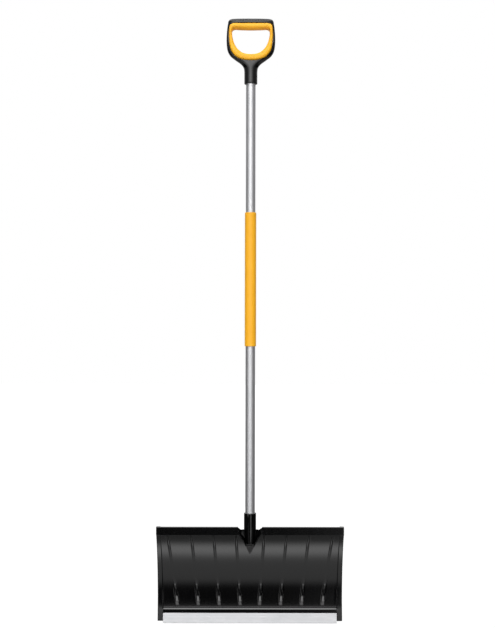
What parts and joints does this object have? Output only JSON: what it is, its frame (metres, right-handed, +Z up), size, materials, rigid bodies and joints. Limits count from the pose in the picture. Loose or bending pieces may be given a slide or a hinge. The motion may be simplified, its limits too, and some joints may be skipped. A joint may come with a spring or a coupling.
{
  "type": "snow shovel",
  "caption": "Two-handed snow pusher with a wide concave plastic blade, metal scraper edge, straight tube shaft with a grip sleeve, and a closed D-handle.",
  "frame": {"origin": "middle of the scraper strip's lower edge", "axes": "+Z up along the shaft towards the D-handle, +X across the blade, -Y towards the hollow front of the blade"},
  "size_m": [0.495, 0.1001, 1.627],
  "materials": {
    "blade_plastic": "black moulded polypropylene, satin gloss",
    "strip_metal": "mill-finished extrusion",
    "rivet_metal": "bright formed head",
    "shaft_metal": "satin anodised tube",
    "sleeve_plastic": "orange-yellow, fine satin",
    "plug_plastic": "black, as moulded",
    "screw_steel": "zinc plated",
    "handle_plastic": "black moulded, satin",
    "softgrip_rubber": "orange-yellow soft grip, satin"
  },
  "bodies": {
    "root": {"blade": "blade_plastic", "scraper_strip": "strip_metal", "strip_rivet_1": "rivet_metal", "strip_rivet_2": "rivet_metal", "strip_rivet_3": "rivet_metal", "strip_rivet_4": "rivet_metal", "strip_rivet_5": "rivet_metal", "strip_rivet_6": "rivet_metal", "strip_rivet_7": "rivet_metal", "strip_rivet_8": "rivet_metal", "shaft_tube": "shaft_metal", "shaft_sleeve": "sleeve_plastic", "tube_plug_lower": "plug_plastic", "tube_plug_upper": "plug_plastic", "socket_screw_1": "screw_steel", "socket_screw_2": "screw_steel", "handle_screw": "screw_steel", "handle_frame": "handle_plastic", "handle_softgrip": "softgrip_rubber"}
  },
  "joints": []
}
